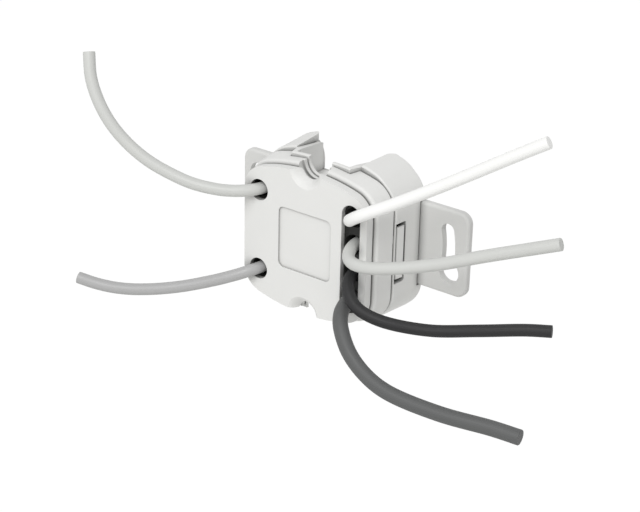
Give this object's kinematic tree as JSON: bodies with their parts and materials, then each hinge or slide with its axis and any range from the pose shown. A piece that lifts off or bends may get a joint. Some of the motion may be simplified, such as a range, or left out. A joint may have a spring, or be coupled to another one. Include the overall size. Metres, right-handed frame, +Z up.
{
  "type": "switch interface",
  "caption": "Flush-mounted switch interface: a snapped plastic housing with cable channels on a plate with keyhole ears, with supply and input wires leaving the front face.",
  "frame": {"origin": "centre of the mounting plate, on its flat back face", "axes": "+X along the ears towards the slot with the input wires, +Y out of the flat back face, away from the wired face, +Z up"},
  "size_m": [0.127, 0.0467, 0.0705],
  "materials": {
    "shell_plastic": "moulded, finely matt",
    "plate_plastic": "moulded, finely matt",
    "board": "lacquered",
    "black_plastic": "moulded",
    "terminal_plastic": "moulded",
    "tinned_metal": "tinned",
    "copper": "bare drawn wire",
    "wire_light_grey": "satin extruded insulation",
    "wire_grey": "satin extruded insulation",
    "wire_white": "satin extruded insulation",
    "wire_black": "satin extruded insulation",
    "wire_dark_grey": "satin extruded insulation",
    "ferrite": "sintered",
    "capacitor_can": "sleeved can",
    "film_coating": "moulded case",
    "disc_coating": "dipped",
    "resistor_coating": "lacquered"
  },
  "bodies": {
    "root": {"front_cover": "shell_plastic", "front_shell": "shell_plastic", "rear_housing": "shell_plastic", "mounting_plate": "plate_plastic", "main_board": "board", "radio_board": "board", "radio_headers": "black_plastic", "radio_shield": "tinned_metal", "aerial_strip": "tinned_metal", "supply_terminal_upper": "terminal_plastic", "supply_terminal_lower": "terminal_plastic", "input_terminal": "terminal_plastic", "supply_clamp_springs": "tinned_metal", "input_clamp_springs": "tinned_metal", "supply_current_bars": "tinned_metal", "input_current_bars": "tinned_metal", "supply_conductors": "copper", "input_conductors": "copper", "supply_wire_upper": "wire_light_grey", "supply_wire_lower": "wire_grey", "input_wire_white": "wire_white", "input_wire_light": "wire_light_grey", "input_wire_black": "wire_black", "input_wire_common": "wire_dark_grey", "transformer_core": "ferrite", "transformer_bobbin": "black_plastic", "transformer_winding": "copper", "smoothing_capacitor": "capacitor_can", "output_capacitor": "capacitor_can", "film_capacitor": "film_coating", "varistor": "disc_coating", "fusible_resistor": "resistor_coating", "bridge_rectifier": "black_plastic", "supply_chip": "black_plastic", "processor_chip": "black_plastic", "input_resistors": "black_plastic"}
  },
  "joints": []
}
